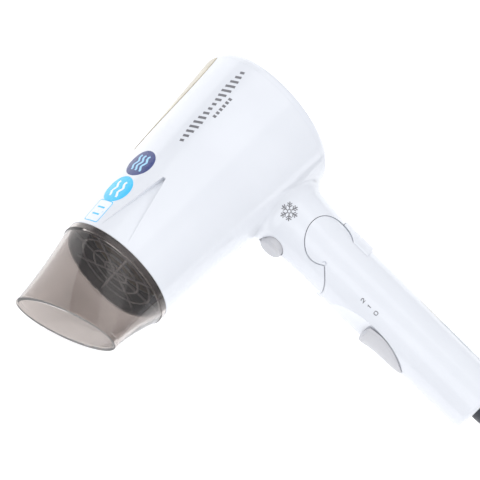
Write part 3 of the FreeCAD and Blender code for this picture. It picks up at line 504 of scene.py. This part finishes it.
INK = plastic("print_grey", (0.17, 0.17, 0.185), (0.21, 0.21, 0.225), rough=0.4,
              grain=2500.0, depth=0.000004)
NAVY = plastic("label_navy", (0.035, 0.045, 0.16), (0.05, 0.07, 0.23), rough=0.25,
               grain=1500.0, depth=0.000004, coat=0.4)
CYAN = plastic("label_cyan", (0.045, 0.52, 0.90), (0.06, 0.58, 0.95), rough=0.25,
               grain=1500.0, depth=0.000004, coat=0.4)
PALE = plastic("label_white", (0.80, 0.84, 0.90), (0.86, 0.89, 0.94), rough=0.3,
               grain=1500.0, depth=0.000004, coat=0.3)
SKY = plastic("label_sky", (0.30, 0.62, 0.90), (0.38, 0.70, 0.95), rough=0.3,
              grain=1500.0, depth=0.000004, coat=0.3)

COOL_MARK_X, COOL_MARK_Y = 4.8, 42.0
lay("cool_mark", snowflake(), BARREL, from_above(COOL_MARK_X, COOL_MARK_Y), INK, "barrel")

DIAL_X, DIAL_STROKE = 10.4, 0.42
TWO = [(-0.7, 0.55), (-0.35, 0.95), (0.35, 0.95), (0.7, 0.55), (0.6, 0.1), (-0.7, -0.95),
       (0.75, -0.95)]
ONE = [(-0.35, 0.6), (0.1, 0.95), (0.1, -0.95)]
NOUGHT = [(-0.45, 0.95), (0.45, 0.95), (0.8, 0.5), (0.8, -0.5), (0.45, -0.95), (-0.45, -0.95),
          (-0.8, -0.5), (-0.8, 0.5)]


def add_digit(word, line, y, closed=False):
    """One of the dial's positions, read with the barrel upwards."""
    upright = [[(-u, -v) for u, v in loop] for loop in stroke(line, DIAL_STROKE, closed)]
    lay("dial_" + word, upright, GRIP, from_above(DIAL_X, y), INK, "handle", step=0.8)


add_digit("two", TWO, 101.8)
add_digit("one", ONE, 106.5)
add_digit("nought", NOUGHT, 111.3, closed=True)

BAR_WIDTH = 1.5
RISING, FALLING = (2.2, 3.2, 4.2, 5.0), (5.0, 4.2, 3.2, 2.2)
lay("side_bars", bar_row((RISING + FALLING) * 2, 3.3, 0.3, BAR_WIDTH),
    BARREL, round_barrel(0.0, 36.8), INK, "barrel")
lay("side_dashes", bar_row((1.8,) * 6, 2.5, 0.0, BAR_WIDTH),
    BARREL, round_barrel(-2.0, 29.4), INK, "barrel")


def add_label(name, x, angle, edge, face, marks, edge_material, face_material, mark_material):
    """A sticker of three layers, x mm along the barrel and at an angle in degrees round it."""
    ray = round_barrel(x, angle)
    lay(name + "_edge", [edge], BARREL, ray, edge_material, "barrel", proud=0.05)
    lay(name + "_face", [face], BARREL, ray, face_material, "barrel", proud=0.07)
    lay(name + "_mark", marks, BARREL, ray, mark_material, "barrel", proud=0.09)


add_label("navy_label", 46.0, 54.5, oval(8.6, 8.8), oval(7.8, 8.0), waves((-3.2, 0, 3.2), 1.1, 1.3),
          NAVY, NAVY, SKY)
add_label("cyan_label", 64.5, 54.5, oval(8.8, 9.0), oval(8.2, 8.4), waves((-2.6, 2.6), 1.1, 1.5),
          CYAN, CYAN, PALE)
add_label("white_label", 80.0, 55.5, rounded(7.2, 6.0, 1.4), rounded(6.7, 5.5, 1.1),
          bar_row((6.0, 6.0), 4.6, 0.0, 1.0), CYAN, PALE, CYAN)

# ------------------------------------------------------------------ floor, light

FLOOR_HALF, FLOOR_DROP = 3, 0.0004      # it lies a little low, so that it shares no face with the object
SKY_STRENGTH = 0.93
SKY_TOP = 0.85                          # how high the sky reaches its full brightness
LIGHT_AIM = Vector((0, 0, 0))


def add_stage():
    """A pale floor that glows a little, so that it stays white round the object."""
    corners = [(-FLOOR_HALF, -FLOOR_HALF), (FLOOR_HALF, -FLOOR_HALF),
               (FLOOR_HALF, FLOOR_HALF), (-FLOOR_HALF, FLOOR_HALF)]
    floor = mesh_object("floor", [(x, y, -FLOOR_DROP) for x, y in corners], [(0, 1, 2, 3)])
    shader = Shader("floor_white")
    shader.drift(shader.noise(3.0, 2.0), (0.92, 0.92, 0.92), (0.94, 0.94, 0.94))
    shader.set(Roughness=0.9, Emission_Color=(1, 1, 1, 1), Emission_Strength=0.45)
    paint(floor, shader.material)


def add_light(name, place, side, power, colour):
    """A square soft light."""
    data = bpy.data.lights.new(name, "AREA")
    data.shape = "RECTANGLE"
    data.size, data.size_y = side, side
    data.energy = power
    data.color = colour
    lamp = link(bpy.data.objects.new(name, data))
    lamp.location = place
    lamp.rotation_euler = (LIGHT_AIM - Vector(place)).to_track_quat("-Z", "Y").to_euler()


def add_world():
    """A wide soft sky: bright overhead, dimmer towards the horizon."""
    world = bpy.data.worlds.new("studio")
    bpy.context.scene.world = world
    world.use_nodes = True
    tree = world.node_tree
    place = tree.nodes.new("ShaderNodeTexCoord")
    split = tree.nodes.new("ShaderNodeSeparateXYZ")
    ramp = tree.nodes.new("ShaderNodeValToRGB")
    ramp.color_ramp.elements[0].position, ramp.color_ramp.elements[1].position = 0.0, SKY_TOP
    ramp.color_ramp.elements[0].color = (0.56, 0.57, 0.60, 1.0)
    ramp.color_ramp.elements[1].color = (0.97, 0.98, 1.0, 1.0)
    tree.links.new(place.outputs["Generated"], split.inputs["Vector"])
    tree.links.new(split.outputs["Z"], ramp.inputs["Fac"])
    tree.links.new(ramp.outputs["Color"], tree.nodes["Background"].inputs["Color"])
    tree.nodes["Background"].inputs["Strength"].default_value = SKY_STRENGTH
    bpy.context.scene.view_settings.view_transform = "Standard"


add_stage()
add_world()
add_light("key", (-0.6, -1.1, 2.0), side=2.6, power=13.0, colour=(1, 1, 1))
add_light("fill", (0.9, 1.2, 1.9), side=2.4, power=14.0, colour=(0.98, 0.985, 1.0))
